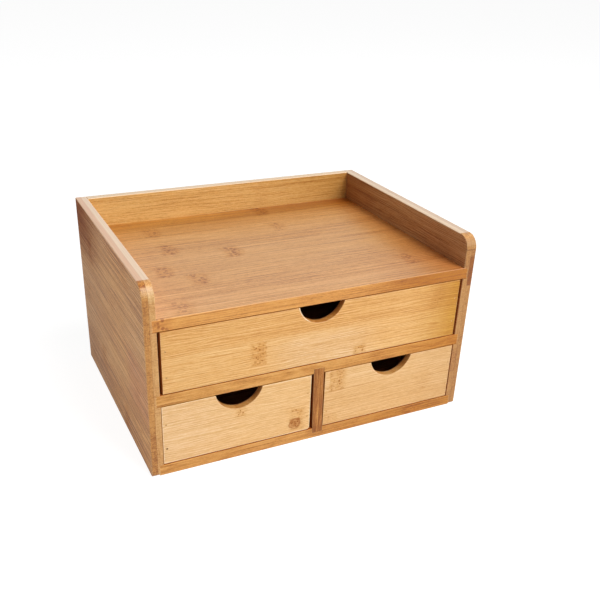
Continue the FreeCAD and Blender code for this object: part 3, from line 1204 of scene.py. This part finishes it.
def ease_edges(board):
    """Sandpaper takes the sharpness off every edge."""
    bevel = board.modifiers.new("eased", "BEVEL")
    bevel.width = EASED_EDGE / MM
    bevel.segments = 1
    bevel.limit_method = "ANGLE"
    bevel.angle_limit = math.radians(40.0)


def dress():
    steel = pin_heads()
    for seed, node in enumerate(sorted(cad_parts)):
        if node.endswith("_pins"):
            assign(node, steel)
            continue
        if node in WOOD:
            axes, palette, plies = WOOD[node]
        else:
            piece = next(name for name in BOX_AXES if node.endswith("drawer_" + name))
            axes, palette, plies = BOX_AXES[piece], BARE, [(None, None, None)]
        low, high = (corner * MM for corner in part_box(node))
        along, across = AXIS[axes[0]], AXIS[axes[1]]
        full = []
        for number, (limit, bounds, strips) in enumerate(plies):
            span = (low[along], high[along])
            drawn = drawn_strips(SEED_STEP * seed + number, low[across], high[across], span)
            if node == "centre_divider":
                rng = random.Random(number)
                tone = DIVIDER_TONES[number]
                strips = [(tone, rng.uniform(*DIVIDER_MARKS), DIVIDER_MARK_STRENGTH) for _ in bounds[1:]]
            full.append((limit, bounds or drawn[0], strips or drawn[1]))
        assign(node, Board(node, axes, palette, full, seed + 1).varnished())
        ease_edges(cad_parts[node])


def direction(turn, rise):
    """Towards a lamp that stands at this turn from straight in front, to the right, and this rise."""
    turn, rise = math.radians(turn), math.radians(rise)
    return Vector((math.cos(rise) * math.sin(turn), -math.cos(rise) * math.cos(turn), math.sin(rise)))


def lamp(name, level, turn, rise, distance, size):
    """A square soft light whose strength is given by the level that it lights the object to."""
    light = bpy.data.lights.new(name, "AREA")
    light.shape = "SQUARE"
    light.size = size
    light.energy = level * (math.pi * distance) ** 2
    lamp_object = bpy.data.objects.new(name, light)
    aim = Vector(LAMP_AIM)
    towards = direction(turn, rise)
    lamp_object.location = aim + towards * distance
    lamp_object.rotation_euler = towards.to_track_quat("Z", "Y").to_euler()
    bpy.context.scene.collection.objects.link(lamp_object)


def seen_directly(graph):
    """1 for rays from the camera, from gloss and through glass, which see the backdrop white."""
    path = graph.add("ShaderNodeLightPath").outputs
    rays = graph.total(path["Is Camera Ray"], path["Is Glossy Ray"], path["Is Transmission Ray"])
    return graph.math("MINIMUM", rays, 1.0)


class WorldGraph(Graph):
    def __init__(self, name):
        self.material = bpy.data.worlds.new(name)
        self.material.use_nodes = True
        self.tree = self.material.node_tree
        self.tree.nodes.clear()


def backdrop():
    graph = WorldGraph("studio")
    soft = graph.add("ShaderNodeBackground", {"Color": (1.0, 1.0, 1.0, 1.0), "Strength": AMBIENT_LEVEL})
    white = graph.add("ShaderNodeBackground", {"Color": (1.0, 1.0, 1.0, 1.0), "Strength": 1.0})
    mixed = graph.add(
        "ShaderNodeMixShader", {0: seen_directly(graph), 1: soft.outputs[0], 2: white.outputs[0]}
    )
    graph.add("ShaderNodeOutputWorld", {"Surface": mixed.outputs[0]})
    bpy.context.scene.world = graph.material


def studio_floor():
    corners = [(-1, -1), (1, -1), (1, 1), (-1, 1)]
    mesh = bpy.data.meshes.new("floor")
    mesh.from_pydata([(x * FLOOR_HALF, y * FLOOR_HALF, 0.0) for x, y in corners], [], [(0, 1, 2, 3)])
    floor = bpy.data.objects.new("floor", mesh)
    bpy.context.scene.collection.objects.link(floor)
    graph = Graph("pale_floor")
    bounce = graph.add("ShaderNodeBsdfDiffuse", {"Color": (FLOOR_BOUNCE,) * 3 + (1.0,)})
    shaded = graph.add("ShaderNodeBsdfDiffuse", {"Color": (FLOOR_SHADOW_PART,) * 3 + (1.0,)})
    glow = graph.add("ShaderNodeEmission", {"Color": (1.0, 1.0, 1.0, 1.0), "Strength": FLOOR_GLOW})
    seen = graph.add("ShaderNodeAddShader", {0: shaded.outputs[0], 1: glow.outputs[0]})
    mixed = graph.add(
        "ShaderNodeMixShader", {0: seen_directly(graph), 1: bounce.outputs[0], 2: seen.outputs[0]}
    )
    mesh.materials.append(graph.output(mixed.outputs[0]))


def camera():
    data = bpy.data.cameras.new("camera")
    data.sensor_fit = "HORIZONTAL"
    data.sensor_width = SENSOR
    data.lens = CAMERA_FOCUS_PX * SENSOR / IMAGE_SIDE
    data.shift_x = 0.5 - CAMERA_CENTRE_PX[0] / IMAGE_SIDE
    data.shift_y = CAMERA_CENTRE_PX[1] / IMAGE_SIDE - 0.5
    view = bpy.data.objects.new("camera", data)
    turn = Matrix.Rotation(math.radians(CAMERA_TURN), 4, "Z")
    dip = Matrix.Rotation(math.radians(90.0 - CAMERA_DIP), 4, "X")
    roll = Matrix.Rotation(math.radians(CAMERA_ROLL), 4, "Z")
    view.matrix_world = Matrix.Translation(CAMERA_PLACE) @ turn @ dip @ roll
    bpy.context.scene.collection.objects.link(view)
    bpy.context.scene.camera = view


bpy.context.scene.view_settings.view_transform = "Standard"
camera()
backdrop()
studio_floor()
for lamp_name, facts in LAMPS.items():
    lamp(lamp_name, **facts)
dress()
